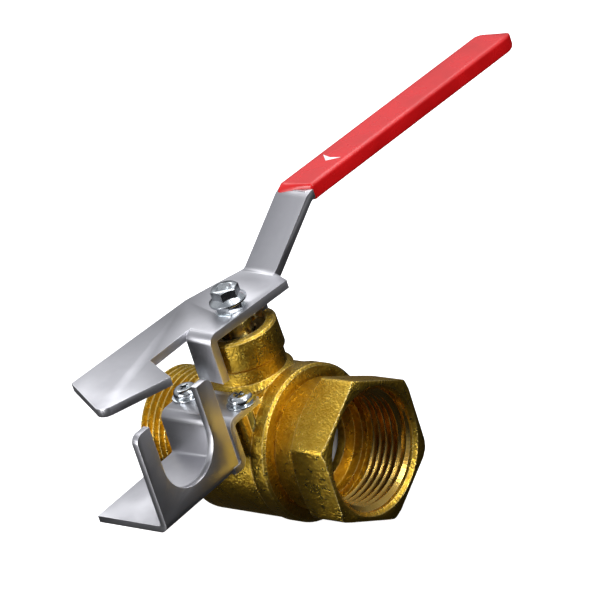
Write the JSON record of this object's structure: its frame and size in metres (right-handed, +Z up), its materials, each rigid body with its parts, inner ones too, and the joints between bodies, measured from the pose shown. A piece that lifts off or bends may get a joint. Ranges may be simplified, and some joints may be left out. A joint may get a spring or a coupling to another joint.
{
  "type": "ball valve",
  "caption": "Brass ball valve with a female and a male threaded end, a cranked red-gripped lever with a tail flag and a folded tab, and a fork bracket.",
  "frame": {"origin": "where the pipe axis crosses the stem axis, the centre of the ball", "axes": "+X along the pipe towards the female end, +Z up the stem, +Y towards the side opposite the bracket; the closed lever's handle points along +Y, 5 degrees towards +X"},
  "size_m": [0.0714, 0.1868, 0.0797],
  "materials": {
    "forged_brass": "forged brass, sand-grained, bright on edges",
    "plated_steel": "zinc-plated pressed sheet, satin",
    "bright_screw": "bright zinc-plated fastener",
    "red_vinyl": "dipped red vinyl, glossy",
    "chromed_ball": "chromed brass ball, polished",
    "white_ptfe": "white PTFE",
    "machined_brass": "turned brass",
    "black_rubber": "black nitrile rubber"
  },
  "bodies": {
    "valve_body": {"body": "forged_brass", "end_connector": "forged_brass", "body_seal": "white_ptfe", "seat_female_side": "white_ptfe", "seat_male_side": "white_ptfe", "thrust_washer": "white_ptfe", "stem_packing": "white_ptfe", "gland_ring": "machined_brass", "gland_nut": "machined_brass", "bracket": "plated_steel", "bracket_screws": "bright_screw", "bracket_washers": "bright_screw"},
    "lever_and_stem": {"stem": "machined_brass", "stem_o_ring": "black_rubber", "lever": "plated_steel", "grip": "red_vinyl", "jam_nut": "bright_screw", "flange_nut": "bright_screw"},
    "ball_body": {"ball": "chromed_ball"}
  },
  "joints": [
    {"name": "lever_turn", "type": "hinge", "parent": "valve_body", "child": "lever_and_stem", "pos_m": [0, 0, 0.03], "axis": [0, 0, 1], "range_deg": [0, 95]},
    {"name": "ball_turn", "type": "hinge", "parent": "valve_body", "child": "ball_body", "pos_m": [0, 0, 0], "axis": [0, 0, 1], "range_deg": [0, 95]}
  ],
  "couplings": [
    {"joint": "ball_turn", "follows": "lever_turn", "ratio": 1}
  ]
}
